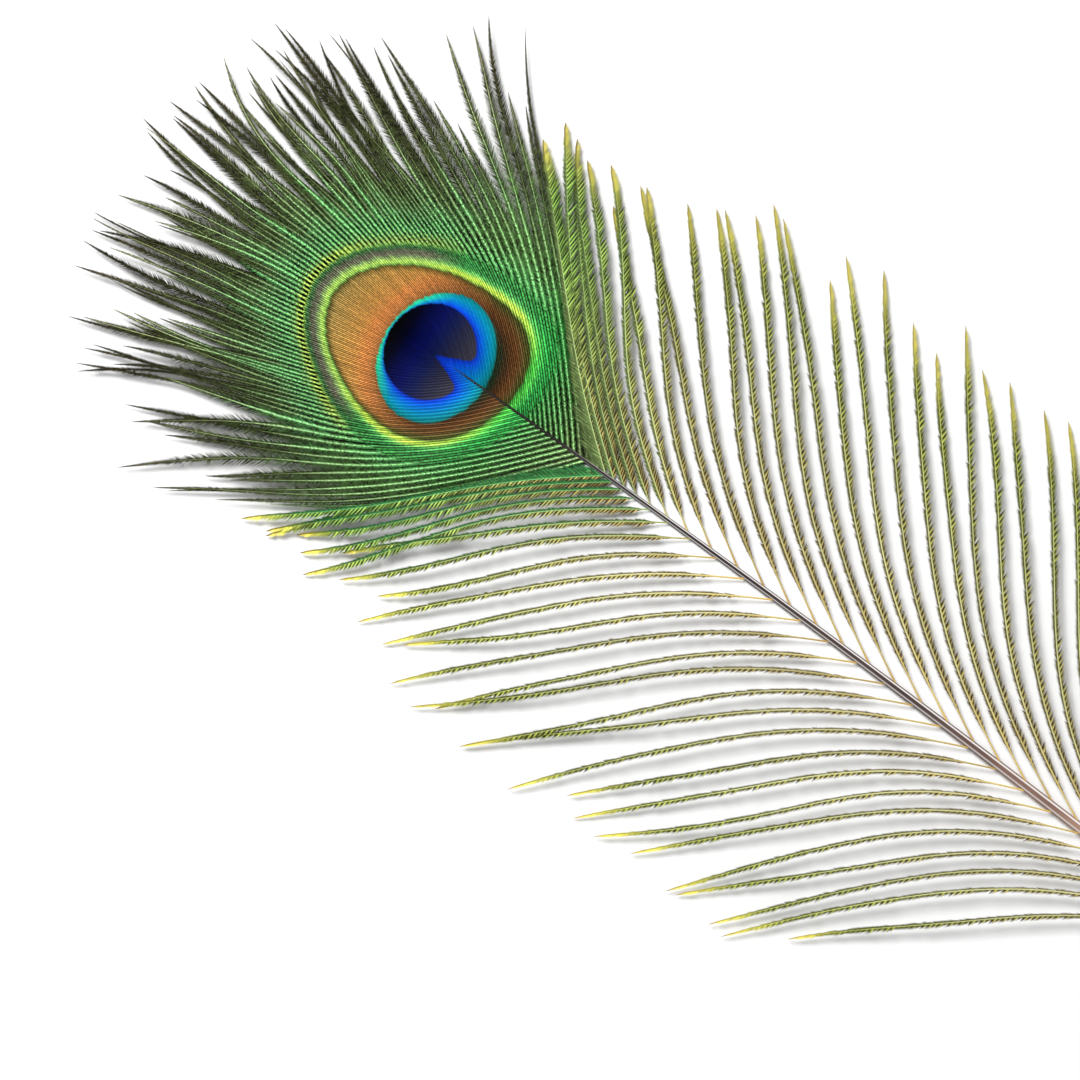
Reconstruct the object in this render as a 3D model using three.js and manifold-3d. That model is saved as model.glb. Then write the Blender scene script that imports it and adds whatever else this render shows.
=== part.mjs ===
// A peacock eye feather lying face up, in millimetres: +Y runs to its tip, +X to its right, +Z up.
// The origin is on the flat underside of the quill, REST_FROM_CUT up from the cut end.
import * as THREE from 'three';
import { mergeVertices } from 'three/addons/utils/BufferGeometryUtils.js';
import Module from 'manifold-3d';

// The shaft, from its cut end to the notch in the eye
const SHAFT_LENGTH = 232;
const REST_FROM_CUT = 10;
const NOTCH_WIDTH = 0.5;
const CUT_WIDTH = 3.05;
const SHAFT_DEPTH = 0.92; // depth for each millimetre of width
const SHAFT_SIDES = 8;
const SHAFT_STEPS = 26;
const BOW = 1.0; // sideways rise of the bowed stretch below the eye
const BOW_SPAN = 157;

// The closed vane that carries the eye, an egg drawn out to a point on the shaft
const VANE_TO_TIP = 25; // from its widest place
const VANE_TO_QUILL = 33.5;
const VANE_HALF_WIDTH = 21.5;
const VANE_FORWARD = 3.5; // widest place, past the notch
const VANE_TAPER = 0.16; // how much narrower the tip end is than the quill end
const VANE_POINTED = 1.6; // power that draws the quill end to a point
const VANE_THICKNESS = 0.6;
const VANE_UNDERSIDE = 0.3;
const VANE_POINTS = 56;

// Locks of eye barbs that run on past the vane, from the middle of the fan outwards on each side.
// A lock's place in the fan is 0 in its middle, 1 where the barbs skirt the eye and EYE_REACH at the last.
const EYE_LOCKS = 12;
const EYE_REACH = 1.28;
const EYE_ROOTS = 28; // below the notch, for the barbs that skirt the eye
const EYE_ROOT_TURN = 50; // degrees off the shaft
const EYE_TIP_TURN = 19;
const EYE_SKIRT_TURN = 40; // at the tips of the last locks, which spread towards the loose barbs
const EYE_SPREAD_FROM = 0.7; // place in the fan where the tips start to spread
const EYE_LENGTH_MIDDLE = 74;
const EYE_LENGTH_SKIRT = 89;
const EYE_BEND_MIDDLE = 12; // length over which a barb swings forward
const EYE_BEND_SKIRT = 55;
const EYE_LOCK_START = 0.25; // share of its length where a lock starts inside the vane
const EYE_LOCK_WIDTH = 6.4;
const EYE_LOCK_ROOT = 0.15; // its share of that width at its start
const EYE_LOCK_SWELL = 3; // how fast it widens from there
const EYE_ARCH = 0.25;

// Loose barbs, single strands down both sides of the shaft
const LOOSE_FIRST = 40; // below the notch
const LOOSE_LAST = 205;
const LOOSE_PITCH_EYE = 1.8;
const LOOSE_PITCH = { left: 7.1, right: 6.6 };
const LOOSE_PITCH_REACHED = 66; // below the notch, where the pitch stops widening
const LOOSE_ROOT_TURN_EYE = 40;
const LOOSE_ROOT_TURN_BASE = 20;
const LOOSE_TIP_TURN = 48;
const LOOSE_BEND = 0.62; // share of its length over which a loose barb swings out
const LOOSE_LENGTH_EYE = 70;
const LOOSE_LENGTH_BASE = 95;
const LOOSE_GROWS_FROM = 50; // below the notch, where the loose barbs start to be longer
const LOOSE_GROWS_TO = 125;
const LOOSE_WIDTH = 1.7;
const LOOSE_ROOT = 0.4; // its share of that width at the shaft
const LOOSE_SWELL = 4; // how fast it widens from there
const LOOSE_ARCH = 2.2;

// Every strand
const BARB_THICKNESS = 0.55;
const BARB_SIDES = 4;
const BARB_STEPS = 9;
const TIP_HEIGHT = 0.3; // a strand's tip above the surface
const LENGTH_JITTER = 0.06;
const TURN_JITTER = 2.5;

const degrees = THREE.MathUtils.degToRad;
const lerp = THREE.MathUtils.lerp;
const notchY = SHAFT_LENGTH - REST_FROM_CUT;

// A number from 0 to 1 that is fixed for each strand and each use of it.
function chance(strand, use) {
  const wave = Math.sin(strand * 12.9898 + use * 78.233) * 43758.5453;
  return wave - Math.floor(wave);
}

// The shaft's sideways place, its heading off +Y and its width, `below` millimetres below the notch.
const bowed = (below) => 4 * BOW * (below / BOW_SPAN) * (1 - below / BOW_SPAN);
const shaftX = (below) => bowed(below) - bowed(notchY);
const shaftHeading = (below) => -Math.atan((4 * BOW / BOW_SPAN) * (1 - 2 * below / BOW_SPAN));
const shaftWidth = (below) => lerp(NOTCH_WIDTH, CUT_WIDTH, below / SHAFT_LENGTH);

// Half the shaft's depth at its flats: the height of its axis when the underside is flat on z = 0.
const shaftAxisHeight = (below) => (shaftWidth(below) * SHAFT_DEPTH / 2) * Math.cos(Math.PI / SHAFT_SIDES);

// A closed body from a column of rings: every vertex of a cylinder or cone goes to place(along, out, angle),
// with along from 0 to 1, out 1 on the skin and 0 on the axis, and the angle round the axis.
function column(geometry, radiusAt, place) {
  const vertices = geometry.attributes.position;
  for (let i = 0; i < vertices.count; i += 1) {
    const along = vertices.getY(i) + 0.5;
    const radius = Math.hypot(vertices.getX(i), vertices.getZ(i));
    const out = radius > 0 ? radius / radiusAt(along) : 0;
    const angle = Math.atan2(vertices.getX(i), vertices.getZ(i));
    const point = place(along, out, angle);
    vertices.setXYZ(i, point.x, point.y, point.z);
  }
  return geometry;
}

function shaft() {
  const rings = new THREE.CylinderGeometry(1, 1, 1, SHAFT_SIDES, SHAFT_STEPS);
  rings.rotateY(Math.PI / SHAFT_SIDES);
  return column(rings, () => 1, (along, out, angle) => {
    const below = SHAFT_LENGTH * (1 - along);
    const half = shaftWidth(below) / 2;
    const across = out * half * Math.sin(angle);
    const up = shaftAxisHeight(below) + out * half * SHAFT_DEPTH * Math.cos(angle);
    return new THREE.Vector3(shaftX(below) + across, notchY - below, up);
  });
}

function vane() {
  const outline = [];
  for (let i = 0; i < VANE_POINTS; i += 1) {
    const turn = (2 * Math.PI * i) / VANE_POINTS;
    const forward = Math.cos(turn);
    const toTip = forward > 0;
    const bulge = Math.abs(Math.sin(turn)) ** (toTip ? 1 : VANE_POINTED);
    const across = VANE_HALF_WIDTH * Math.sign(Math.sin(turn)) * bulge * (1 - VANE_TAPER * forward);
    outline.push(new THREE.Vector2(across, (toTip ? VANE_TO_TIP : VANE_TO_QUILL) * forward));
  }
  const options = { depth: VANE_THICKNESS, bevelEnabled: false };
  const plate = new THREE.ExtrudeGeometry(new THREE.Shape(outline), options);
  return plate.translate(shaftX(0), notchY + VANE_FORWARD, VANE_UNDERSIDE);
}

// The line of a strand, as points: it leaves the shaft at rootTurn and eases to tipTurn over `bend`,
// and it rises in an arch from the shaft's axis and comes down to the surface at its tip.
function strandLine({ below, side, length, rootTurn, tipTurn, bend, arch }) {
  const step = length / BARB_STEPS;
  const at = new THREE.Vector2(shaftX(below), notchY - below);
  const line = [];
  for (let i = 0; i <= BARB_STEPS; i += 1) {
    const along = i / BARB_STEPS;
    const level = lerp(shaftAxisHeight(below), TIP_HEIGHT, along);
    line.push(new THREE.Vector3(at.x, at.y, level + 4 * arch * along * (1 - along)));
    const eased = THREE.MathUtils.smoothstep((i + 0.5) * step, 0, bend);
    const turn = shaftHeading(below) + side * degrees(lerp(rootTurn, tipTurn, eased));
    at.x += step * Math.sin(turn);
    at.y += step * Math.cos(turn);
  }
  return new THREE.CatmullRomCurve3(line);
}

// A pointed blade with a diamond section along the line, from its share `start` to its tip.
function blade(line, start, widthAt) {
  const rings = new THREE.ConeGeometry(1, 1, BARB_SIDES, BARB_STEPS);
  return column(rings, (along) => 1 - along, (along, out, angle) => {
    const share = lerp(start, 1, along);
    const heading = line.getTangent(share);
    const across = new THREE.Vector3(heading.y, -heading.x, 0).normalize();
    const point = line.getPoint(share).addScaledVector(across, out * widthAt(along) / 2 * Math.sin(angle));
    point.z += out * (BARB_THICKNESS / 2) * (1 - along / 2) * Math.cos(angle);
    return point;
  });
}

function eyeLock(side, index) {
  const fan = EYE_REACH * (index + 0.5) / EYE_LOCKS;
  const inner = Math.max(0, 1 - fan);
  const spreading = THREE.MathUtils.smoothstep(fan, EYE_SPREAD_FROM, EYE_REACH);
  const spread = lerp(EYE_TIP_TURN, EYE_SKIRT_TURN, spreading);
  const strand = side * (index + 1);
  const jitter = 1 + LENGTH_JITTER * (2 * chance(strand, 1) - 1);
  const line = strandLine({
    side,
    below: EYE_ROOTS * fan ** 1.25,
    length: lerp(EYE_LENGTH_MIDDLE, EYE_LENGTH_SKIRT, Math.min(1, fan / EYE_SPREAD_FROM)) * jitter,
    rootTurn: EYE_ROOT_TURN * (1 - inner ** 5),
    tipTurn: spread * (1 - inner ** 4) + TURN_JITTER * (2 * chance(strand, 2) - 1),
    bend: lerp(EYE_BEND_MIDDLE, EYE_BEND_SKIRT, fan ** 1.2),
    arch: EYE_ARCH,
  });
  const start = EYE_LOCK_START * Math.min(1, 4 * inner);
  return blade(line, start, (along) => {
    const swell = Math.min(1, EYE_LOCK_ROOT + EYE_LOCK_SWELL * along);
    return EYE_LOCK_WIDTH * swell * (1 - along ** 1.5);
  });
}

function looseBarb(side, below, index) {
  const down = (below - LOOSE_FIRST) / (LOOSE_LAST - LOOSE_FIRST);
  const strand = side * (index + 101);
  const jitter = 1 + LENGTH_JITTER * (2 * chance(strand, 1) - 1);
  const grown = THREE.MathUtils.smoothstep(below, LOOSE_GROWS_FROM, LOOSE_GROWS_TO);
  const length = lerp(LOOSE_LENGTH_EYE, LOOSE_LENGTH_BASE, grown) * jitter;
  const line = strandLine({
    side,
    below,
    length,
    rootTurn: lerp(LOOSE_ROOT_TURN_EYE, LOOSE_ROOT_TURN_BASE, Math.sqrt(down)),
    tipTurn: LOOSE_TIP_TURN + TURN_JITTER * (2 * chance(strand, 2) - 1),
    bend: LOOSE_BEND * length,
    arch: LOOSE_ARCH,
  });
  return blade(line, 0, (along) => {
    const swell = Math.min(1, LOOSE_ROOT + LOOSE_SWELL * along);
    return LOOSE_WIDTH * swell * (1 - along ** 3);
  });
}

// The places of the loose barbs along the shaft: close together below the eye, then wider apart.
function looseRoots(pitch) {
  const roots = [];
  let below = LOOSE_FIRST;
  while (below < LOOSE_LAST) {
    roots.push(below);
    const widening = Math.min(1, (below - LOOSE_FIRST) / (LOOSE_PITCH_REACHED - LOOSE_FIRST));
    below += lerp(LOOSE_PITCH_EYE, pitch, widening);
  }
  return roots;
}

const wasm = await Module();
wasm.setup();

function solid(geometry) {
  geometry.deleteAttribute('normal');
  geometry.deleteAttribute('uv');
  const merged = mergeVertices(geometry, 1e-4);
  const vertProperties = new Float32Array(merged.attributes.position.array);
  const triVerts = new Uint32Array(merged.index.array);
  return new wasm.Manifold(new wasm.Mesh({ numProp: 3, vertProperties, triVerts }));
}

function fused(geometries) {
  const joined = geometries.map(solid).reduce((whole, piece) => whole.add(piece)).getMesh();
  const geometry = new THREE.BufferGeometry();
  geometry.setAttribute('position', new THREE.BufferAttribute(joined.vertProperties, 3));
  geometry.setIndex(new THREE.BufferAttribute(joined.triVerts, 1));
  geometry.computeVertexNormals();
  return geometry;
}

const pieces = [shaft(), vane()];
for (const [name, side] of [['left', -1], ['right', 1]]) {
  for (let index = 0; index < EYE_LOCKS; index += 1) {
    pieces.push(eyeLock(side, index));
  }
  looseRoots(LOOSE_PITCH[name]).forEach((below, index) => pieces.push(looseBarb(side, below, index)));
}

const horn = new THREE.MeshStandardMaterial({ color: 0x4c8a3c, roughness: 0.55, metalness: 0.1 });
const feather = new THREE.Mesh(fused(pieces), horn);
feather.name = 'feather';

const peacockFeather = new THREE.Group();
peacockFeather.add(feather);

export default peacockFeather;
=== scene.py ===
import bpy
import numpy as np
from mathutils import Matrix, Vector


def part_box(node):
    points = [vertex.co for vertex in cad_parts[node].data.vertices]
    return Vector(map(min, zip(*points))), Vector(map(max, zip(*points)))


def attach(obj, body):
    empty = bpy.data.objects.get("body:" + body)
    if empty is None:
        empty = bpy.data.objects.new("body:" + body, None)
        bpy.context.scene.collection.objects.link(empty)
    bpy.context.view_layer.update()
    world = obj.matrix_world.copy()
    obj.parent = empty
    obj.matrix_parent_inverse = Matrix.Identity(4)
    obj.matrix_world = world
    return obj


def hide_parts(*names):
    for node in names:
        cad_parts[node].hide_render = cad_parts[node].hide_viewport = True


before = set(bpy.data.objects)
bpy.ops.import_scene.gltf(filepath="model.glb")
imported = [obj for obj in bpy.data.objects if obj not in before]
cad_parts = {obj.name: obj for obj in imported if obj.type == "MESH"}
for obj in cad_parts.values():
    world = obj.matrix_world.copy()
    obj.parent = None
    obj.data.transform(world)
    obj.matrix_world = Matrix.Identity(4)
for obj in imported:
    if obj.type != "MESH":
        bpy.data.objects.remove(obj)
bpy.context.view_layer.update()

# Shaft
# A tapered horn rod filled with pith, which grows with a slight bow: near black in the eye, mauve brown below
# it and cream at the quill, which is cut off square. It lies on the surface along its whole length.
MM = 0.001
SHAFT_LENGTH = 232.0
NOTCH_Y = SHAFT_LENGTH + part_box("feather")[0][1] / MM
NOTCH_WIDTH, CUT_WIDTH = 0.5, 3.05
SHAFT_DEPTH = 0.92
FLAT_SHARE = np.cos(np.pi / 8)
BOW, BOW_SPAN = 1.0, 157.0
SHAFT_RINGS, SHAFT_SIDES = 260, 28
SHAFT_TURNS = np.linspace(0, 2 * np.pi, SHAFT_SIDES, endpoint=False)
QUILL_WALL, QUILL_RECESS, NOTCH_POINT = 0.3, 1.2, 0.6
FIBRE_SCALE = (3200, 60, 3200)


def bowed(below):
    """The bow's parabola at `below` millimetres below the notch: zero at the notch and at the span."""
    return 4 * BOW * (below / BOW_SPAN) * (1 - below / BOW_SPAN)


def shaft_x(below):
    """The shaft's sideways place: its bow, measured from the point that the origin lies under."""
    return bowed(below) - bowed(NOTCH_Y)


def shaft_heading(below):
    """The shaft's direction off +Y, in radians: the slope of the bow."""
    return -np.arctan(4 * BOW / BOW_SPAN * (1 - 2 * below / BOW_SPAN))


def shaft_width(below):
    """The straight taper from the cut end to the notch."""
    return NOTCH_WIDTH + (CUT_WIDTH - NOTCH_WIDTH) * below / SHAFT_LENGTH


def shaft_axis_height(below):
    """The height of the shaft's axis when its underside lies flat on the surface."""
    return shaft_width(below) * SHAFT_DEPTH / 2 * FLAT_SHARE


def tones(*codes):
    """Linear colours from six-figure sRGB codes, by the sRGB curve."""
    code = np.array([[int(c[i:i + 2], 16) / 255 for i in (0, 2, 4)] for c in codes])
    linear = np.where(code <= 0.04045, code / 12.92, ((code + 0.055) / 1.055) ** 2.4)
    return np.column_stack([linear, np.ones(len(codes))])


def tint(code):
    """One linear colour from its code."""
    return tuple(tones(code)[0])


def put_mesh(name, points, *blocks):
    """A mesh object from points in millimetres and blocks of faces, each an array with one face in a row."""
    mesh = bpy.data.meshes.new(name)
    corners = np.concatenate([block.ravel() for block in blocks]).astype(np.int32)
    sizes = np.concatenate([np.full(len(block), block.shape[1]) for block in blocks])
    mesh.vertices.add(len(points))
    mesh.vertices.foreach_set("co", (points * MM).astype(np.float32).ravel())
    mesh.loops.add(len(corners))
    mesh.loops.foreach_set("vertex_index", corners)
    mesh.polygons.add(len(sizes))
    mesh.polygons.foreach_set("loop_start", (np.cumsum(sizes) - sizes).astype(np.int32))
    mesh.update(calc_edges=True)
    made = bpy.data.objects.new(name, mesh)
    bpy.context.scene.collection.objects.link(made)
    return made


def give_values(piece, shape, **values):
    """Stores one number for each vertex under each name, for the piece's material to read."""
    for name, value in values.items():
        layer = piece.data.attributes.new(name, "FLOAT", "POINT")
        layer.data.foreach_set("value", np.broadcast_to(value, shape).astype(np.float32).ravel())


def give_map(piece, shape, along, across):
    """A map of the surface for its textures, from one pair of numbers for each vertex."""
    corners = np.empty(len(piece.data.loops), np.int32)
    piece.data.loops.foreach_get("vertex_index", corners)
    pair = [np.broadcast_to(along, shape), np.broadcast_to(across, shape)]
    places = np.stack(pair, -1).reshape(-1, 2)
    layer = piece.data.uv_layers.new(name="OFBake")
    layer.uv.foreach_set("vector", places[corners].clip(0, 1).astype(np.float32).ravel())


def new_finish(name):
    """An empty material and the Principled shader in it."""
    finish = bpy.data.materials.new(name)
    finish.use_nodes = True
    return finish, finish.node_tree.nodes["Principled BSDF"]


def set_inputs(finish, node, inputs):
    """Sets a node's inputs, by name or number, to values or to other nodes' outputs."""
    for key, value in inputs.items():
        if isinstance(value, bpy.types.NodeSocket):
            finish.node_tree.links.new(value, node.inputs[key])
        else:
            node.inputs[key].default_value = value


def add_node(finish, kind, inputs, **settings):
    """A node of this kind, with its inputs set, and its options as the settings say."""
    made = finish.node_tree.nodes.new(kind)
    for key, value in settings.items():
        setattr(made, key, value)
    set_inputs(finish, made, inputs)
    return made


def sums(finish, way, first, second=0.0):
    """One step of arithmetic on two numbers."""
    return add_node(finish, "ShaderNodeMath", {0: first, 1: second}, operation=way).outputs["Value"]


def product(finish, first, *others):
    """Numbers multiplied together."""
    for other in others:
        first = sums(finish, "MULTIPLY", first, other)
    return first


def span(finish, value, low, high, to_low=0.0, to_high=1.0):
    """A straight scale of value, from low and high to to_low and to_high, and held at both ends."""
    limits = {"Value": value, "From Min": low, "From Max": high, "To Min": to_low, "To Max": to_high}
    return add_node(finish, "ShaderNodeMapRange", limits).outputs["Result"]


def colour_scale(finish, value, stops):
    """Colours along a scale: stops maps each place on it, in value's own unit, to a colour code."""
    places = sorted(stops)
    share = span(finish, value, places[0], places[-1])
    ramp = add_node(finish, "ShaderNodeValToRGB", {"Fac": share})
    marks = ramp.color_ramp.elements
    for place in places[1:-1]:
        marks.new((place - places[0]) / (places[-1] - places[0]))
    for mark, tone in zip(marks, tones(*[stops[place] for place in places])):
        mark.color = tone
    return ramp.outputs["Color"]


def mixed(finish, share, first, second, way="MIX"):
    """Two colours mixed: share 0 gives the first, and share 1 the second or its effect on the first."""
    sockets = {0: share, 6: first, 7: second}
    return add_node(finish, "ShaderNodeMix", sockets, data_type="RGBA", blend_type=way).outputs[2]


def lit(finish, colour, strength):
    """A colour times a number."""
    grey = add_node(finish, "ShaderNodeCombineColor", {0: strength, 1: strength, 2: strength}).outputs[0]
    return mixed(finish, 1.0, colour, grey, "MULTIPLY")


def reading(finish, name):
    """The number that the mesh stores under this name."""
    return add_node(finish, "ShaderNodeAttribute", {}, attribute_name=name).outputs["Fac"]


def object_place(finish):
    """The place of a point of the surface, in metres."""
    return add_node(finish, "ShaderNodeTexCoord", {}).outputs["Object"]


def noise(finish, place, scale, detail=2.0):
    """Soft random patches, about `scale` of them in a unit of place, as a number from 0 to 1."""
    inputs = {"Vector": place, "Scale": scale, "Detail": detail}
    return add_node(finish, "ShaderNodeTexNoise", inputs).outputs["Fac"]


def relief(finish, height, strength, depth):
    """Surface directions for a relief that follows height, `depth` metres deep."""
    inputs = {"Height": height, "Strength": strength, "Distance": depth}
    return add_node(finish, "ShaderNodeBump", inputs).outputs["Normal"]


def own(piece, finish):
    piece.data.materials.append(finish)
    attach(piece, "root")
    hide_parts("feather")


def shaft_surface():
    """Rings along the shaft: the section is an oval flattened under its belly. At the cut end the rings turn in
    over the wall and down into the pith, and both ends close in a point."""
    bore = 1 - 2 * QUILL_WALL / CUT_WIDTH
    along = np.linspace(SHAFT_LENGTH, 0, SHAFT_RINGS)
    below = np.concatenate([np.full(3, SHAFT_LENGTH), along, [0]])
    shrink = np.concatenate([[0, bore, bore], np.ones(SHAFT_RINGS), [0]])
    inset = np.concatenate([[QUILL_RECESS, QUILL_RECESS, 0], np.zeros(SHAFT_RINGS), [NOTCH_POINT]])
    half = (shrink * shaft_width(below) / 2)[:, None]
    up = np.maximum(np.cos(SHAFT_TURNS), -FLAT_SHARE) * SHAFT_DEPTH
    ring_x = shaft_x(below)[:, None] + half * np.sin(SHAFT_TURNS)
    ring_y = np.broadcast_to((NOTCH_Y - below + inset)[:, None], ring_x.shape)
    ring_z = shaft_axis_height(below)[:, None] + half * up
    return np.stack([ring_x, ring_y, ring_z], -1)


def ring_faces(rings, sides, strands=1):
    """Quads between each ring and the next one, for a number of strands with equal rings."""
    index = np.arange(strands * rings * sides).reshape(strands, rings, sides)
    onward = np.roll(index, -1, axis=2)
    corners = [index[:, :-1], index[:, 1:], onward[:, 1:], onward[:, :-1]]
    return np.stack(corners, -1).reshape(-1, 4)


shaft_rings = shaft_surface()
shaft = put_mesh("shaft", shaft_rings.reshape(-1, 3), ring_faces(len(shaft_rings), SHAFT_SIDES))
give_values(shaft, shaft_rings.shape[:2], aside=np.sin(SHAFT_TURNS))

horn, horn_shader = new_finish("shaft_horn")
place = object_place(horn)
length_place = add_node(horn, "ShaderNodeSeparateXYZ", {"Vector": place}).outputs["Y"]
drawn_out = add_node(horn, "ShaderNodeMapping", {"Vector": place, "Scale": FIBRE_SCALE}).outputs["Vector"]
fibres, patches = noise(horn, drawn_out, 1.0, 4.0), noise(horn, place, 90.0, 3.0)
# The colour by metres along the shaft, with pale fibres and brown stains.
horn_colour = colour_scale(horn, length_place, {
    -0.010: "e9dcbc", 0.012: "dfccaa", 0.040: "b99a84", 0.070: "84675c", 0.100: "4a3c39", 0.150: "2a2322",
    0.200: "17130f", 0.216: "100f0d", 0.219: "0c3c9c", 0.222: "0a3cc0",
})
pale = span(horn, fibres, 0.4, 0.65, 0.0, 0.5)
horn_colour = mixed(horn, pale, horn_colour, tint("eedcc8"), "SOFT_LIGHT")
stains = span(horn, patches, 0.52, 0.75, 0.0, 0.45)
horn_colour = mixed(horn, stains, horn_colour, tint("6e5448"), "MULTIPLY")
# A pale line painted along each flank below the eye as a highlight, brighter on the right where the light falls.
aside = reading(horn, "aside")
flank = sums(horn, "ABSOLUTE", aside)
painted_highlight = product(
    horn, span(horn, flank, 0.34, 0.46), span(horn, flank, 0.78, 0.66),
    span(horn, aside, -0.3, 0.3, 0.55, 0.95), span(horn, length_place, 0.192, 0.168),
)
set_inputs(horn, horn_shader, {
    "Base Color": mixed(horn, painted_highlight, horn_colour, tint("ece6e4")),
    "Roughness": span(horn, fibres, 0.3, 0.7, 0.3, 0.5), "Specular IOR Level": 0.35,
    "Normal": relief(horn, fibres, 0.3, 0.0001),
})
own(shaft, horn)

# Eye barbs
# Flat horn barbs that grow from the shaft close together on both sides of the notch and swing forward round the
# eye. They lie edge to edge in one closed vane, and past it their ends cling together in loose pointed locks.

# Lengths are in millimetres, turns in degrees off the shaft, and steps between barbs are shares of the fan.
EYE_LOCKS, EYE_REACH = 12, 1.28
EYE_BARBS, EYE_PITCH, EYE_WIDENING = 47, 0.0155, 0.022
EYE_ROOTS, EYE_ROOT_CROWDING = 28.0, 1.25
EYE_ROOT_TURN, EYE_TIP_TURN, EYE_SKIRT_TURN = 50.0, 19.0, 40.0
EYE_SPREAD_FROM = 0.7
EYE_LENGTH_MIDDLE, EYE_LENGTH_SKIRT = 74.0, 89.0
EYE_BEND_MIDDLE, EYE_BEND_SKIRT = 12.0, 55.0
EYE_ARCH, EYE_STEPS = 0.6, 120
# The eye's ovals, from the notch: centres and half widths to the right and forward.
BRONZE_CENTRE, BRONZE_RADII, BRONZE_TAPER, BRONZE_LEAN = (-0.7, 2.8), (16.65, 20.6), 0.16, 3.6
RING_CENTRE, RING_RADII = (-0.35, -0.65), (13.75, 11.35)
PUPIL_CENTRE, PUPIL_RADII = (0.0, 1.1), (9.9, 9.1)
PUPIL_WEDGE, LOBE_REACH, LOBE_ROUNDING = np.radians(23), 1.8, 0.45
EYE_TURN = np.radians(-2.85)
# Disorder past the eye: each pair is where it starts outside the bronze oval and how soon it is full.
LENGTH_JITTER, TURN_JITTER = 0.06, 2.5
SWERVE_FROM, SWERVE_OVER = 6, 20
CLUMP_BREAK, CLUMP_LEAST, CLUMP_MOST = 0.3, 0.05, 0.7
CLUMP_FROM, CLUMP_OVER = 9, 30
WAVE_FROM, WAVE_OVER = 5, 45
WAVE_LEAST, WAVE_MORE, WAVE_STRAY, WAVE_TURNS = 0.5, 1.6, 4.0, 0.9
HOOK, LAYERS, LAYER_BEND = 7.0, 3, 3.2
# Heights: roots over the shaft's axis, higher by the notch, and tips over the surface.
ROOT_RISE, NOTCH_RISE, NOTCH_RISE_OVER = 0.14, 0.22, 9
TIP_HEIGHT, LOCK_LIFT, BARB_LIFT = 0.3, 0.6, 1.0
# A barb's blade: as wide as its gaps in the vane, and a bare ramus past it.
RIBBON_OVERLAP, RIBBON_NARROWEST, RIBBON_WIDEST = 1.3, 0.2, 2.2
RAMUS_WIDTH, RAMUS_TAPER, POINT_SHARE = 0.24, 0.4, 0.06
OPENING_START, OPENING_LENGTH, OPENING_EARLIER, EARLY_FROM = 9.0, 22.0, 5.0, 0.75
OPENING_FROM, OPENING_OVER = 0.1, 0.35
FRINGE_AHEAD, FRINGE_LENGTH, FRINGE_FROM, FRINGE_OVER = 4.0, 8.0, 0.06, 0.2
CUT_BACK = 0.24
RIDGE_HEIGHT, EDGE_DROP, KEEL_DROP = 0.13, 0.09, 0.17
EDGE_SHIFT, PUPIL_SHIFT, STRAND_RUN = 0.3, 0.6, 200
# Tones of single barbs: where they start to differ, how soon they do in full, and by how much.
TONE_FROM, TONE_OVER, TONE_IN_EYE, TONE_PAST, TONE_GREENING = 5.5, 17, 0.25, 1.05, 18
RING_LEAST = 0.3
SIDES = {"left": -1, "right": 1}
rng = np.random.default_rng(7)


def chance(strand, use):
    """A fixed number from 0 to 1 for each strand and use: the fraction of a fast sine."""
    wave = np.sin(strand * 12.9898 + use * 78.233) * 43758.5453
    return wave - np.floor(wave)


def eased(x):
    """The smooth step from 0 to 1."""
    x = np.clip(x, 0, 1)
    return x * x * (3 - 2 * x)


def strand_lines(below, side, length, root_turn, tip_turn, bend, steps):
    """Centre lines in plan, a row of points for each strand: it leaves the shaft at root_turn and eases to
    tip_turn over its bend, so a point is the running sum of short steps in that direction."""
    share = (np.arange(steps) + 0.5) / steps
    swing = eased(share * (length / bend)[:, None])
    turn = root_turn[:, None] + (tip_turn - root_turn)[:, None] * swing
    turn = shaft_heading(below)[:, None] + side * np.radians(turn)
    step = (length / steps)[:, None]
    start = np.zeros((len(below), 1))
    x = shaft_x(below)[:, None] + np.hstack([start, np.cumsum(step * np.sin(turn), axis=1)])
    y = NOTCH_Y - below[:, None] + np.hstack([start, np.cumsum(step * np.cos(turn), axis=1)])
    return np.stack([x, y], -1)


def directions(line):
    """Each point's unit direction along its strand, and the one across it, to the right, both level."""
    ahead = np.gradient(line[..., :2], axis=1)
    ahead /= np.linalg.norm(ahead, axis=-1, keepdims=True)
    level = np.zeros(ahead.shape[:2] + (1,))
    across = np.stack([ahead[..., 1], -ahead[..., 0]], -1)
    return np.concatenate([ahead, level], -1), np.concatenate([across, level], -1)


def oval_distance(right, forward, centre, radii, taper=0.0, lean=0.0):
    """The distance outwards from an oval, along the ray from its centre: negative inside it. The taper narrows
    its forward end, and the lean pulls its rear end to the right."""
    t = (forward - centre[1]) / radii[1]
    right = right - centre[0] - lean * np.clip(-t, 0, 1.2) ** 2
    reach = np.hypot(right / (radii[0] * (1 - taper * np.clip(t, -1, 1))), t)
    return np.hypot(right, forward - centre[1]) * (1 - 1 / np.maximum(reach, 1e-6))


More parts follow.
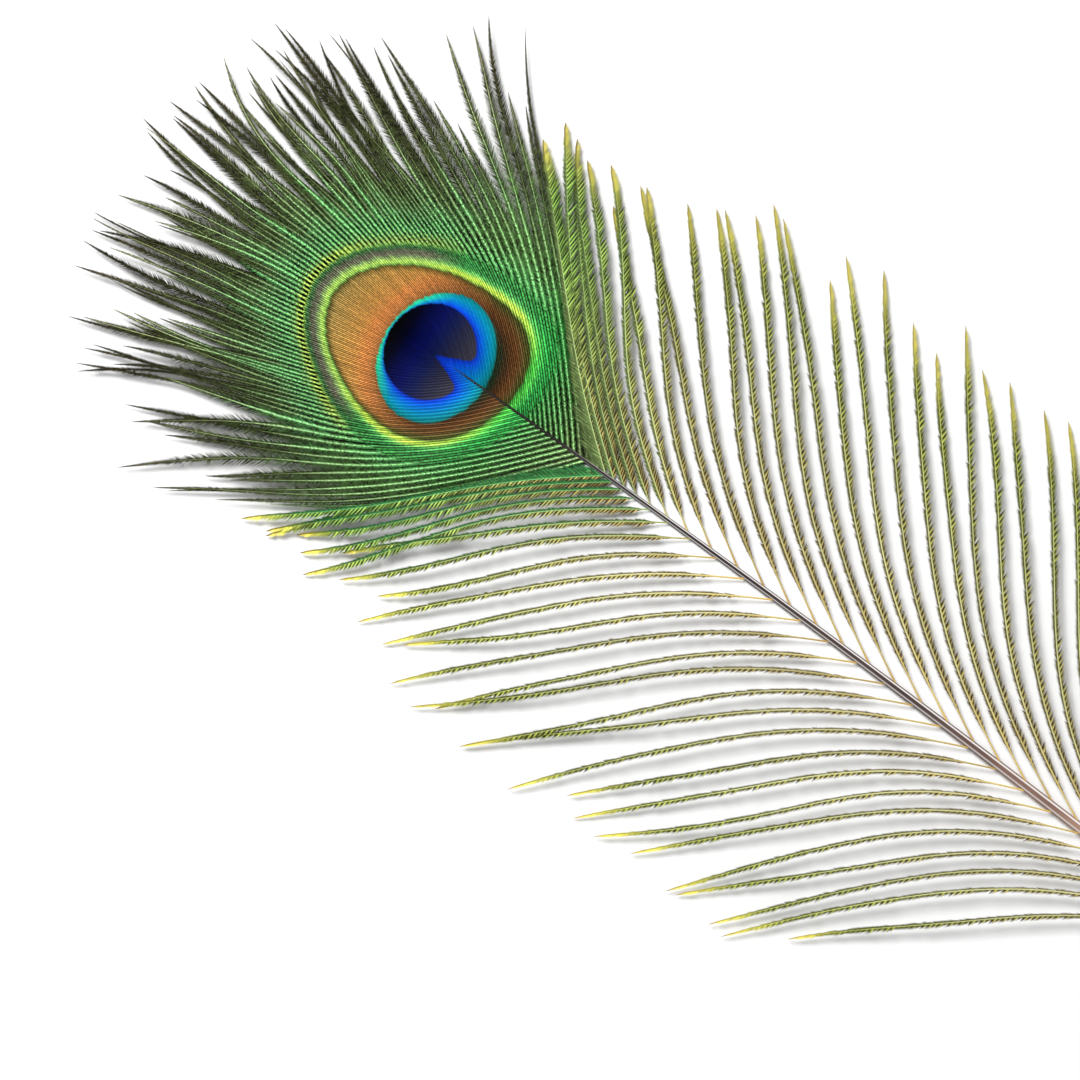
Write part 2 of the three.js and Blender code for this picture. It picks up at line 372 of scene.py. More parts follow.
def eye_distances(points):
    """How far a point lies outside the bronze oval, the blue ring and the heart-shaped pupil, and how far
    forward and to the right of the notch. The pupil is an oval less a wedge from the notch, with its lobes
    rounded."""
    x, y = points[..., 0] - shaft_x(0), points[..., 1] - NOTCH_Y
    right = x * np.cos(EYE_TURN) - y * np.sin(EYE_TURN)
    forward = x * np.sin(EYE_TURN) + y * np.cos(EYE_TURN)
    bronze = oval_distance(right, forward, BRONZE_CENTRE, BRONZE_RADII, BRONZE_TAPER, BRONZE_LEAN)
    ring = oval_distance(right, forward, RING_CENTRE, RING_RADII)
    notch = np.abs(right) * np.cos(PUPIL_WEDGE) + forward * np.sin(PUPIL_WEDGE)
    notch = np.where(forward > 0, np.hypot(right, forward), notch)
    heart = oval_distance(right, forward, PUPIL_CENTRE, PUPIL_RADII)
    corner = np.maximum(0, 1 - np.abs(heart + notch) / LOBE_REACH) ** 2 * LOBE_ROUNDING
    return bronze, ring, np.maximum(heart, -notch) + corner, forward, right


def eye_roots(fan):
    """Places of the roots below the notch: a power of the place in the fan, so they crowd towards the notch."""
    return EYE_ROOTS * fan ** EYE_ROOT_CROWDING


def eye_plan(fan, side, length, swerve):
    """Plan lines of eye barbs at these places in the fan, with these lengths and swerves of the tip."""
    inner = np.maximum(0, 1 - fan)
    spreading = eased((fan - EYE_SPREAD_FROM) / (EYE_REACH - EYE_SPREAD_FROM))
    spread = EYE_TIP_TURN + (EYE_SKIRT_TURN - EYE_TIP_TURN) * spreading
    tip_turn = spread * (1 - inner ** 4) + swerve
    root_turn = EYE_ROOT_TURN * (1 - inner ** 5)
    bend = EYE_BEND_MIDDLE + (EYE_BEND_SKIRT - EYE_BEND_MIDDLE) * fan ** 1.2
    return strand_lines(eye_roots(fan), side, length, root_turn, tip_turn, bend, EYE_STEPS)


def lock_drift(fan, side, use):
    """A number from -1 to 1 that drifts across the fan, from each lock's own chance to the next one's."""
    middle = EYE_REACH * (np.arange(EYE_LOCKS) + 0.5) / EYE_LOCKS
    return np.interp(fan, middle, 2 * chance(side * (np.arange(EYE_LOCKS) + 1), use) - 1)


def eye_barb_lines(side):
    """The centre lines of one side's eye barbs, and their places in the fan, whose steps grow as they go. In
    the eye each barb keeps its place. Past it the barbs swerve with their lock, close in on their nearest
    neighbours, stray in a wave, hook a little at the tip, and bend aside in layers that cross."""
    rank = np.arange(EYE_BARBS) + 0.5
    fan = EYE_PITCH / EYE_WIDENING * (np.exp(EYE_WIDENING * rank) - 1)
    outer = np.minimum(1, fan / EYE_SPREAD_FROM)
    length = EYE_LENGTH_MIDDLE + (EYE_LENGTH_SKIRT - EYE_LENGTH_MIDDLE) * outer
    length = length * (1 + LENGTH_JITTER * lock_drift(fan, side, 1))
    plan = eye_plan(fan, side, length, 0.0)
    swerved = eye_plan(fan, side, length, TURN_JITTER * lock_drift(fan, side, 2))
    past = eye_distances(plan)[0][..., None]
    clump = np.flatnonzero(np.append(True, rng.random(EYE_BARBS - 1) < CLUMP_BREAK))
    members = np.diff(np.append(clump, EYE_BARBS))
    middle = np.add.reduceat(swerved, clump, axis=0) / members[:, None, None]
    pull = CLUMP_LEAST + (CLUMP_MOST - CLUMP_LEAST) * rng.random(len(clump))
    pull = np.repeat(pull, members)[:, None, None]
    closing = pull * eased((past - CLUMP_FROM) / CLUMP_OVER)
    plan = plan + (swerved - plan) * eased((past - SWERVE_FROM) / SWERVE_OVER)
    plan = plan + (np.repeat(middle, members, axis=0) - swerved) * closing
    share = np.linspace(0, 1, EYE_STEPS + 1)
    luck = rng.random((4, EYE_BARBS, 1))
    wave = WAVE_LEAST + WAVE_MORE * luck[0] + WAVE_STRAY * luck[0] ** 9
    wave = wave * np.sin(2 * np.pi * (WAVE_TURNS * share + luck[1]))
    hook = HOOK * (2 * luck[2] - 1) ** 3 * np.clip((share - 0.5) / 0.5, 0, 1) ** 2
    layer = rng.integers(0, LAYERS, EYE_BARBS)
    drift = np.choose(layer, [lock_drift(fan, side, 4 + each) for each in range(LAYERS)])[:, None]
    bend = LAYER_BEND * drift * np.clip((share - 0.4) / 0.6, 0, 1) ** 2
    sideways = wave[..., None] * np.clip((past - WAVE_FROM) / WAVE_OVER, 0, 1.2) ** 2
    sideways = sideways + (hook + bend)[..., None]
    plan = plan + directions(plan)[1][..., :2] * sideways
    below = eye_roots(fan)
    root = shaft_axis_height(below) + ROOT_RISE + NOTCH_RISE * eased(1 - below / NOTCH_RISE_OVER)
    root = root[:, None]
    tip = TIP_HEIGHT + LOCK_LIFT * (1 + lock_drift(fan, side, 3)[:, None]) + BARB_LIFT * luck[3]
    height = root + (tip - root) * share ** 1.5 + 4 * EYE_ARCH * share * (1 - share)
    return np.concatenate([plan, height[..., None]], -1), fan[:, None]


def pointed(share, over):
    """Narrows a strand to a fine point, straight, over the last `over` of its length."""
    return np.clip((1 - share) / over, 0.05, 1)


def along_strands(values, share):
    """Values on each strand at these shares of its length, between its own points in a straight line."""
    rows, steps = values.shape[0], values.shape[1] - 1
    place = np.broadcast_to(share, (rows, np.shape(share)[-1])) * steps
    first = np.minimum(place.astype(int), steps - 1)
    rest = (place - first).reshape(place.shape + (1,) * (values.ndim - 2))
    row = np.arange(rows)[:, None]
    return values[row, first] * (1 - rest) + values[row, first + 1] * rest


def gaps_between(line, side):
    """The distances square to each strand to its neighbours on the left and the right."""
    across = directions(line)[1][..., :2]
    step = np.abs(np.sum((line[1:, :, :2] - line[:-1, :, :2]) * across[:-1], axis=-1))
    inward, outward = np.vstack([step[:1], step]), np.vstack([step, step[-1:]])
    return (inward, outward) if side > 0 else (outward, inward)


def blade_surface(line, left, right, ridge, edge, keel):
    """Rings of four points carried along each strand: left edge, ridge, right edge and keel."""
    across = directions(line)[1]
    up = np.array([0, 0, 1.0]) * np.clip((left + right) / (2 * RAMUS_WIDTH), 0.2, 1)[..., None]
    left_edge = line - across * left[..., None] - up * edge
    right_edge = line + across * right[..., None] - up * edge
    return np.stack([left_edge, line + up * ridge, right_edge, line - up * keel], 2)


def blade_faces(strands, rings):
    """The quads of four-sided strands, with one quad over each end."""
    index = np.arange(strands * rings * 4).reshape(strands, rings, 4)
    return np.concatenate([ring_faces(rings, 4, strands), index[:, 0], index[:, -1, ::-1]])


def blade_map(piece, shape):
    """Maps each blade to a row of its own: its length along the row, and its section across it."""
    strands, rings = shape[:2]
    row = np.arange(strands)[:, None, None] + 0.5 + 0.45 * np.array([-1, -0.3, 1, 0.3])
    give_map(piece, shape, np.linspace(0.01, 0.99, rings)[:, None], row / strands)


eye_finish, eye_shader = new_finish("eye_barb_sheen")
bronze_out, ring_out = reading(eye_finish, "bronze"), reading(eye_finish, "ring")
pupil_out, ring_share = reading(eye_finish, "pupil"), reading(eye_finish, "ring_share")
forward_place, aside_place = reading(eye_finish, "forward"), reading(eye_finish, "aside")
strand_tone, run_place = reading(eye_finish, "tone"), reading(eye_finish, "run")
across_place = reading(eye_finish, "across")
edge_place = sums(eye_finish, "ABSOLUTE", across_place)
# The greens outside the bronze oval, by millimetres from its edge: tipward, at the sides and towards the quill.
tip_green = colour_scale(eye_finish, bronze_out, {
    0.0: "5a6a30", 0.25: "688f43", 0.6: "a2d460", 1.0: "b4de64", 1.4: "a6cc6a", 1.9: "88a868", 2.6: "746e60",
    3.4: "5e6a50", 4.2: "36733e", 4.9: "84b858", 5.6: "7a9448", 6.4: "6c9a4e", 8.0: "569e58", 11.0: "4c844a",
    15.5: "4a6838", 21.0: "485c2e", 28.0: "465028", 36.0: "3e4424", 46.0: "38341c",
})
side_green = colour_scale(eye_finish, bronze_out, {
    0.0: "5a7030", 0.25: "88aa45", 0.6: "c4e854", 1.0: "c8e858", 1.4: "9adc66", 1.9: "5cb85e", 2.6: "3c8e48",
    4.0: "388a42", 6.0: "509650", 9.0: "4e783e", 15.0: "4e6c38", 24.0: "4c6032", 34.0: "444a28", 46.0: "3a3820",
})
quill_green = colour_scale(eye_finish, bronze_out, {
    0.0: "387430", 0.3: "429438", 0.8: "4cba44", 1.4: "54c64e", 2.0: "48ba52", 2.8: "2ea046", 4.0: "2c8c3e",
    6.0: "2c7832", 9.0: "386c30", 14.0: "446830", 22.0: "4c6034", 34.0: "444a28", 46.0: "3a3820",
})
outside = mixed(eye_finish, span(eye_finish, forward_place, -17.5, -10.0), quill_green, side_green)
outside = mixed(eye_finish, span(eye_finish, forward_place, 5.0, 12.0), outside, tip_green)
dashed_line = product(
    eye_finish, span(eye_finish, bronze_out, 4.5, 5.0), span(eye_finish, bronze_out, 6.5, 5.9),
    span(eye_finish, forward_place, 6.0, 14.0), span(eye_finish, aside_place, 12.0, 5.0),
)
outside = mixed(eye_finish, dashed_line, outside, tint("bce058"))
# Painted light: the greens outside the bronze are painted lighter to the right and darker to the left, as the
# light falls.
outside = lit(eye_finish, outside, span(eye_finish, aside_place, -16.0, 16.0, 0.86, 1.2))
# The bronze: tipward by millimetres from the blue ring, and towards the quill by those from its own edge.
tip_bronze = colour_scale(eye_finish, ring_out, {
    0.0: "a66e3c", 0.8: "c8844a", 2.5: "dc8e4c", 4.7: "cc944c", 7.5: "c0944c", 11.0: "b09250", 13.5: "988850",
})
quill_bronze = colour_scale(eye_finish, bronze_out, {
    -6.6: "1e2e1c", -5.2: "24321e", -3.8: "4a311b", -2.2: "6a4422", -1.0: "624f2a", -0.3: "485626",
})
bronze = mixed(eye_finish, span(eye_finish, forward_place, -4.5, 11.0), quill_bronze, tip_bronze)
olive_edge = span(eye_finish, bronze_out, -1.2, -0.1, 0.0, 0.8)
bronze = mixed(eye_finish, olive_edge, bronze, tint("4c4a1c"))
# The blue ring, by the share of the way out from the pupil, and the pupil, by millimetres forward of the notch.
quill_blue = colour_scale(eye_finish, ring_share, {
    0.0: "0a2ca4", 0.1: "0a44c0", 0.25: "065cc0", 0.45: "0570b0", 0.65: "0580a2", 0.85: "087a86", 1.0: "0a665e",
})
tip_blue = colour_scale(eye_finish, ring_share, {
    0.0: "0a3e96", 0.2: "128cb4", 0.5: "24c0a2", 0.8: "2cc492", 1.0: "2ca670",
})
blue = mixed(eye_finish, span(eye_finish, forward_place, 3.0, 9.0), quill_blue, tip_blue)
# Painted light: the ring is painted brighter on its right side, where the light falls.
blue = lit(eye_finish, blue, span(eye_finish, aside_place, 3.0, 10.0, 0.95, 1.3))
night = colour_scale(eye_finish, forward_place, {
    -8.0: "3d3a40", -2.5: "25273e", 0.2: "121b4a", 2.8: "070e50", 5.0: "03073e", 7.2: "010219", 9.2: "010103",
})
colour = mixed(eye_finish, span(eye_finish, bronze_out, 0.12, -0.12), outside, bronze)
colour = mixed(eye_finish, span(eye_finish, ring_out, 0.15, -0.15), colour, blue)
colour = mixed(eye_finish, span(eye_finish, pupil_out, 0.12, -0.12), colour, night)
# Barbules in a herringbone on each barb, with painted glints: a noise lights some barbules and darkens others,
# and past the eye the ones without a glint are brown.
slant = sums(eye_finish, "SUBTRACT", run_place, product(eye_finish, edge_place, 0.8))
herringbone = add_node(eye_finish, "ShaderNodeCombineXYZ", {
    "X": product(eye_finish, slant, 2.4), "Y": product(eye_finish, across_place, 0.8),
}).outputs["Vector"]
barbule_grain = noise(eye_finish, herringbone, 1.0)
past_eye = span(eye_finish, bronze_out, 1.0, 7.0)
past_ring = span(eye_finish, ring_out, -0.2, 0.2)
dull = product(eye_finish, span(eye_finish, barbule_grain, 0.52, 0.36, 0.0, 0.65), past_eye)
colour = mixed(eye_finish, dull, colour, tint("3c3616"))
# The pale ramus along the middle of each barb, bare on the lighter barbs further out.
ramus = product(eye_finish, span(eye_finish, edge_place, 0.17, 0.07, 0.0, 0.5), past_eye)
bare_ramus = product(
    eye_finish, span(eye_finish, edge_place, 0.42, 0.2), span(eye_finish, strand_tone, 0.1, 1.0),
    span(eye_finish, bronze_out, 10.0, 24.0),
)
ramus_tone = colour_scale(eye_finish, bronze_out, {
    8.0: "aae0a0", 20.0: "bedca0", 34.0: "b6bc84", 46.0: "8a7c4c",
})
colour = mixed(eye_finish, sums(eye_finish, "MAXIMUM", ramus, bare_ramus), colour, ramus_tone)
# Painted shade in the grooves between and along the barbs: dark at the edges and the middle of each barb in the
# vane, at its edges past it, broad in the dashed line, and faint in the blue and the pupil.
bright_line = product(
    eye_finish, span(eye_finish, bronze_out, 0.0, 0.4), span(eye_finish, bronze_out, 2.2, 1.3),
)
shade_depth = product(
    eye_finish, span(eye_finish, bronze_out, -0.4, 0.4, 0.93, 1.0),
    span(eye_finish, ring_out, -0.2, 0.2, 0.4, 1.0), span(eye_finish, bright_line, 0.0, 1.0, 1.0, 0.82),
)
edge_shade, middle_shade = span(eye_finish, edge_place, 0.5, 0.74), span(eye_finish, edge_place, 0.27, 0.05)
in_vane = span(eye_finish, bronze_out, 5.2, 4.7)
past_vane = sums(eye_finish, "SUBTRACT", 1.0, in_vane)
vane_shade = product(eye_finish, sums(eye_finish, "MAXIMUM", edge_shade, middle_shade), in_vane)
open_shade = product(eye_finish, span(eye_finish, edge_place, 0.2, 0.72), past_vane)
groove_shade = product(eye_finish, sums(eye_finish, "ADD", vane_shade, open_shade), shade_depth)
dash_shade = product(eye_finish, span(eye_finish, edge_place, 0.1, 0.4), dashed_line)
groove_shade = sums(eye_finish, "MAXIMUM", groove_shade, dash_shade)
# Painted glints: how far the noise lights or darkens the colour, least in the ring and the pupil and most past
# the eye.
glint_depth = sums(
    eye_finish, "ADD", span(eye_finish, past_ring, 0.0, 1.0, 0.12, 0.3),
    span(eye_finish, past_eye, 0.0, 1.0, 0.0, 0.45),
)
painted_glints = product(eye_finish, span(eye_finish, barbule_grain, 0.36, 0.64, -1.0, 1.0), glint_depth)
# The colour's strength: the painted groove shade, with the ridges lifted, times each strand's own tone and the
# painted glints.
strength = product(
    eye_finish, span(eye_finish, groove_shade, 0.0, 1.0, 1.32, 0.0),
    span(eye_finish, strand_tone, -0.2, 1.2, 0.3, 1.7), sums(eye_finish, "ADD", painted_glints, 1.0),
)
set_inputs(eye_finish, eye_shader, {
    "Base Color": lit(eye_finish, colour, strength), "Metallic": 0.3, "Specular IOR Level": 0.08,
    "Roughness": span(eye_finish, barbule_grain, 0.3, 0.7, 0.36, 0.6),
    "Normal": relief(eye_finish, barbule_grain, 0.4, 0.00008),
})


def give_eye_values(piece, points, shift, tone, **values):
    """Stores the eye's distances at a piece's points, shifted a little for each strand, and the share of the
    way from the pupil's edge to the ring's. Tones differ little in the eye and much past it, where a lighter
    strand also stays green for longer."""
    bronze, ring, pupil, forward, right = eye_distances(points)
    ring_share = np.clip(pupil / np.maximum(pupil - ring, RING_LEAST), 0, 1)
    past = eased((bronze - TONE_FROM) / TONE_OVER)
    bronze = bronze - TONE_GREENING * (tone - 0.5) * past
    tone = 0.5 + (tone - 0.5) * (TONE_IN_EYE + TONE_PAST * past)
    give_values(
        piece, points.shape[:-1], bronze=bronze + shift, ring=ring + shift, pupil=pupil + PUPIL_SHIFT * shift,
        forward=forward, aside=right, ring_share=ring_share, tone=tone, **values,
    )


eye_strands = {}
for name, side in SIDES.items():
    whole, fan = eye_barb_lines(side)
    strands, share = len(whole), np.linspace(0, 1, EYE_STEPS + 1)
    cut = share * (1 - CUT_BACK * rng.random((strands, 1)) ** 2)
    line = along_strands(whole, cut)
    gaps = [along_strands(gap, cut) for gap in gaps_between(whole, side)]
    opening = OPENING_START - OPENING_EARLIER * eased((fan - EARLY_FROM) / (1 - EARLY_FROM))
    past = eye_distances(line)[0] - opening
    opened = eased(past / OPENING_LENGTH) * eased((share - OPENING_FROM) / OPENING_OVER)
    fringe = eased((past + FRINGE_AHEAD) / FRINGE_LENGTH) * eased((share - FRINGE_FROM) / FRINGE_OVER)
    halves = []
    for gap in gaps:
        closed = np.clip(RIBBON_OVERLAP * gap, RIBBON_NARROWEST, RIBBON_WIDEST)
        width = closed + (RAMUS_WIDTH * (1 - RAMUS_TAPER * share) - closed) * opened
        halves.append(width / 2 * pointed(share, POINT_SHARE))
    skin = blade_surface(line, *halves, RIDGE_HEIGHT, EDGE_DROP, KEEL_DROP)
    piece = put_mesh("eye_barbs_" + name, skin.reshape(-1, 3), blade_faces(*line.shape[:2]))
    piece.data.shade_flat()
    tone = rng.random((strands, 1, 1))
    shift = EDGE_SHIFT * rng.random((strands, 1, 1)) - EDGE_SHIFT / 2
    run = EYE_LENGTH_SKIRT * share[:, None] + STRAND_RUN * np.arange(strands)[:, None, None]
    edges = [np.clip(half / RAMUS_WIDTH, 0, 1) for half in halves]
    across = np.stack([-edges[0], 0 * edges[0], edges[1], 0 * edges[1]], -1)
    give_eye_values(piece, skin, shift, tone, run=run, across=across)
    blade_map(piece, skin.shape[:3])
    own(piece, eye_finish)
    eye_strands[name] = line, (gaps[0] + gaps[1]) / 2, fringe, tone, shift

# Barbules of the eye barbs
# Where the vane opens past the eye, each barb shows its barbules: short pointed horn blades that grow from both
# sides of it in a herringbone, cling in tufts of a few, and shorten to nothing at the tip.
BARBULE_PITCH = 0.2
BARBULE_TURN = np.radians(36)
BARBULE_BASE, BARBULE_DEPTH = 0.3, 0.06
FRINGE_REACH, FRINGE_REACH_LEAST, FRINGE_REACH_MOST = 0.8, 0.55, 1.6
FRINGE_FADES_FROM, FRINGE_FADES_OVER, FRINGE_FADE_CURVE = 0.66, 0.335, 0.6
FRINGE_TO, FRINGE_SHORTEST = 0.995, 0.08
BARBULE_LIFT, BARBULE_SAG = 0.25, 0.06
TUFT = 3
TONE_OF_BARB, TONE_OF_TUFT, TONE_OF_BLADE = 0.5, 0.4, 0.1
# Painted shade on each eye barbule, set through its place across: darkest at the point under its root, lightest
# at its tip.
BARBULE_SHADE = np.array([0.56, 0.56, 0.8, 0.42])
FLANKS = np.array([-1.0, 1.0])


def barbule_blades(line, share, reach, turn, lift, thick):
    """Closed spikes of four points on both flanks of each strand: two points on the strand, one under them, and
    the tip, which lies `reach` to the side and forward, at `turn` to the strand."""
    root = along_strands(line, share)[:, :, None]
    ahead, across = (along_strands(way, share)[:, :, None] for way in directions(line))
    up = np.array([0, 0, 1.0])
    tip = root + across * (FLANKS * reach)[..., None] + ahead * (reach / np.tan(turn))[..., None]
    tip = tip + up * lift[..., None]
    root = np.broadcast_to(root, tip.shape)
    base = ahead * thick / 2
    return np.stack([root - base, root + base, root - up * BARBULE_DEPTH, tip], -2)


def barbule_faces(stations):
    """The four triangles of each spike, left flank and right flank in turn, facing outwards."""
    right = np.array([[0, 3, 1], [1, 3, 2], [2, 3, 0], [0, 1, 2]])
    pair = np.concatenate([right[:, ::-1], right + 4])
    return (pair + 8 * np.arange(stations)[:, None, None]).reshape(-1, 3)


def barbule_map(piece, shape, share, row, rows):
    """Maps a strand's spikes into the strand's own row, roots in its middle and tips at its edges."""
    along = share + np.array([-0.002, 0.002, 0.0, 0.004])
    across = row + 0.5 + 0.42 * FLANKS[:, None] * np.array([0.1, 0.1, 0.0, 1.0])
    give_map(piece, shape, along, across / rows)


for name in SIDES:
    line, gap, fringe, tone, shift = eye_strands[name]
    strands, stations = len(line), int(EYE_LENGTH_SKIRT / BARBULE_PITCH)
    share = np.linspace(FRINGE_FROM, FRINGE_TO, stations)
    reach = np.clip(FRINGE_REACH * along_strands(gap, share), FRINGE_REACH_LEAST, FRINGE_REACH_MOST)
    fading = (1 - eased((share - FRINGE_FADES_FROM) / FRINGE_FADES_OVER)) ** FRINGE_FADE_CURVE
    reach = reach * along_strands(fringe, share) * fading
    grown = reach > FRINGE_SHORTEST
    reach = reach[..., None] * (0.8 + 0.4 * rng.random((strands, stations, 2)))
    lift = BARBULE_LIFT * rng.random(reach.shape) - BARBULE_SAG
    turn = BARBULE_TURN * (0.8 + 0.4 * rng.random(reach.shape))
    blades = barbule_blades(line, share, reach, turn, lift, BARBULE_BASE)[grown]
    piece = put_mesh("eye_barbules_" + name, blades.reshape(-1, 3), barbule_faces(len(blades)))
    piece.data.shade_flat()
    row, station = np.nonzero(grown)
    tufts = rng.random((strands, stations // TUFT + 1, 2, 1))
    tufts = np.repeat(tufts, TUFT, axis=1)[row, station]
    own_tone = TONE_OF_BARB * tone[row] + TONE_OF_TUFT * tufts + TONE_OF_BLADE * rng.random(tufts.shape)
    run = (STRAND_RUN * row + EYE_LENGTH_SKIRT * share[station])[:, None, None]
    give_eye_values(piece, blades, shift[row], own_tone, run=run, across=BARBULE_SHADE)
    barbule_map(piece, blades.shape[:3], share[station][:, None, None], row[:, None, None], strands)
    own(piece, eye_finish)

# Loose barbs
# Below the eye the barbs stand apart, each a thin horn strand that grows from the shaft at a slant and bends
# out. The roots are bare and yellowish and the tips yellow, duller on the right. Near the eye they are green.
LOOSE_FIRST, LOOSE_LAST = 40.0, 205.0
LOOSE_PITCH_EYE, LOOSE_PITCH_REACHED = 1.8, 66.0
LOOSE_PITCH = {"left": 7.1, "right": 6.6}
LOOSE_ROOT_TURN_EYE, LOOSE_ROOT_TURN_BASE, LOOSE_TIP_TURN = 40.0, 20.0, 48.0
LOOSE_LENGTH_EYE, LOOSE_LENGTH_BASE = 70.0, 95.0
LOOSE_GROWS_FROM, LOOSE_GROWS_TO = 50.0, 125.0
LOOSE_BEND, LOOSE_ARCH, LOOSE_STEPS = 0.62, 2.2, 100
SWAY_LEAST, SWAY_MORE, SWAY_TURNS = 0.3, 2.2, 0.8
LOOSE_ROOT_RISE, LOOSE_TIP_RISE, LOOSE_TIP_LIFT = 1.25, 0.15, 0.7
LOOSE_RAMUS_ROOT, LOOSE_RAMUS_TIP, LOOSE_POINT_SHARE = 0.36, 0.12, 0.03
LOOSE_RAMUS_HALF_DEPTH, GREEN_THINNING = 0.12, 0.35
GREEN_TO = 75.0
DULL_TIP = "b4ac60"


def loose_roots(pitch):
    """Places of the loose barbs below the notch: the pitch grows evenly, from the eye's to the wide one."""
    roots = [LOOSE_FIRST]
    while roots[-1] < LOOSE_LAST:
        widening = min(1, (roots[-1] - LOOSE_FIRST) / (LOOSE_PITCH_REACHED - LOOSE_FIRST))
        roots.append(roots[-1] + LOOSE_PITCH_EYE + (pitch - LOOSE_PITCH_EYE) * widening)
    return np.array(roots[:-1])


def loose_lines(below, side):
    """Centre lines of the loose barbs of one side, with an arch over the surface and a small sway."""
    count, down = len(below), (below - LOOSE_FIRST) / (LOOSE_LAST - LOOSE_FIRST)
    strand = side * (np.arange(count) + 101)
    grown = eased((below - LOOSE_GROWS_FROM) / (LOOSE_GROWS_TO - LOOSE_GROWS_FROM))
    length = LOOSE_LENGTH_EYE + (LOOSE_LENGTH_BASE - LOOSE_LENGTH_EYE) * grown
    length = length * (1 + LENGTH_JITTER * (2 * chance(strand, 1) - 1))
    root_turn = LOOSE_ROOT_TURN_EYE + (LOOSE_ROOT_TURN_BASE - LOOSE_ROOT_TURN_EYE) * np.sqrt(down)
    tip_turn = LOOSE_TIP_TURN + TURN_JITTER * (2 * chance(strand, 2) - 1)
    plan = strand_lines(below, side, length, root_turn, tip_turn, LOOSE_BEND * length, LOOSE_STEPS)
    share = np.linspace(0, 1, LOOSE_STEPS + 1)
    wave = np.sin(2 * np.pi * (SWAY_TURNS * share + rng.random((count, 1))))
    sway = (SWAY_MORE * rng.random((count, 1)) + SWAY_LEAST) * share ** 2 * wave
    plan = plan + directions(plan)[1][..., :2] * sway[..., None]
    root = shaft_axis_height(below)[:, None] * LOOSE_ROOT_RISE
    tip = TIP_HEIGHT + LOOSE_TIP_RISE + LOOSE_TIP_LIFT * rng.random((count, 1))
    height = root + (tip - root) * share + 4 * LOOSE_ARCH * share * (1 - share)
    return np.concatenate([plan, height[..., None]], -1)


loose_finish, loose_shader = new_finish("loose_barb_horn")
along_place, loose_tone = reading(loose_finish, "along"), reading(loose_finish, "tone")
right_share = span(loose_finish, reading(loose_finish, "aside"), -1.0, 1.0)
ramus_colour = colour_scale(loose_finish, along_place, {
    0.0: "d8a850", 0.06: "ccb468", 0.25: "ccc890", 0.55: "c0c88c", 0.86: "bcc468", 0.94: "e0d868", 1.0: "d0a040",
})
dull_tip = product(loose_finish, right_share, span(loose_finish, along_place, 0.82, 0.94, 0.0, 0.65))
ramus_colour = mixed(loose_finish, dull_tip, ramus_colour, tint(DULL_TIP))
ramus_green = product(loose_finish, reading(loose_finish, "green"), span(loose_finish, along_place, 0.95, 0.8))
green_tone = mixed(loose_finish, right_share, tint("68b46c"), tint("b2ca86"))
ramus_colour = mixed(loose_finish, ramus_green, ramus_colour, green_tone)
loose_grain = noise(loose_finish, object_place(loose_finish), 1800.0)
set_inputs(loose_finish, loose_shader, {
    "Base Color": lit(loose_finish, ramus_colour, span(loose_finish, loose_tone, 0.0, 1.0, 0.75, 1.2)),
    "Roughness": span(loose_finish, loose_grain, 0.3, 0.7, 0.3, 0.55), "Specular IOR Level": 0.25,
})

loose_strands = {}
for name, side in SIDES.items():
    below = loose_roots(LOOSE_PITCH[name])
    line = loose_lines(below, side)
    green = eased((GREEN_TO - below) / (GREEN_TO - LOOSE_FIRST))[:, None, None]
    share = np.linspace(0, 1, LOOSE_STEPS + 1)
    half = (LOOSE_RAMUS_ROOT + (LOOSE_RAMUS_TIP - LOOSE_RAMUS_ROOT) * share) / 2
    half = half * pointed(share, LOOSE_POINT_SHARE) * (1 - GREEN_THINNING * green[..., 0])
    skin = blade_surface(line, half, half, LOOSE_RAMUS_HALF_DEPTH, 0.0, LOOSE_RAMUS_HALF_DEPTH)
    piece = put_mesh("loose_barbs_" + name, skin.reshape(-1, 3), blade_faces(*line.shape[:2]))
    piece.data.shade_flat()
    tone = rng.random((len(line), 1, 1))
    give_values(piece, skin.shape[:3], along=share[:, None], tone=tone, green=green, aside=side)
    blade_map(piece, skin.shape[:3])
    own(piece, loose_finish)
    loose_strands[name] = line, tone, green

# Barbules of the loose barbs
# Each loose barb carries a close fringe of horn barbules on both sides, from a little way up to its tip. On the
# quill side they lie in dark strokes with gold glints painted on them, the tip side is painted darker as the side
# in shade, and near the eye the tip side is one green band.
# The first barbs' tip side reaches across to the eye.
LOOSE_REACH = {"left": 0.9, "right": 1.2}
LOOSE_REACH_GREEN = 0.5
TIP_FLANK_REACH, TIP_FLANK_GREEN, TIP_FLANK_GLINT, TIP_FLANK_BASE = 0.65, 0.3, 0.2, 0.1
TO_EYE_REACH, TO_EYE_FIRST, TO_EYE_UNTIL, TO_EYE_FADE = 1.2, 40, 0.12, 0.25
LOOSE_BARBULE_PITCH, LOOSE_BARBULE_BASE = 0.19, 0.36
LOOSE_BARBULE_TURN = np.radians(37)
BARE_ROOT, ROOT_TAPER, BARE_ROOT_TAPER = 0.05, 0.012, 0.1
TIP_TAPER, TIP_TAPER_CURVE, TIP_END = 0.17, 0.5, 0.03
BEAT = np.array([1.0, 1.0, 0.35, 0.08, 0.0, 0.08])
TIP_GLINT_FROM, TIP_GLINT_OVER = 0.85, 0.1
BAND_FADE = np.array([0.0, 0.0, 0.0, 0.75])

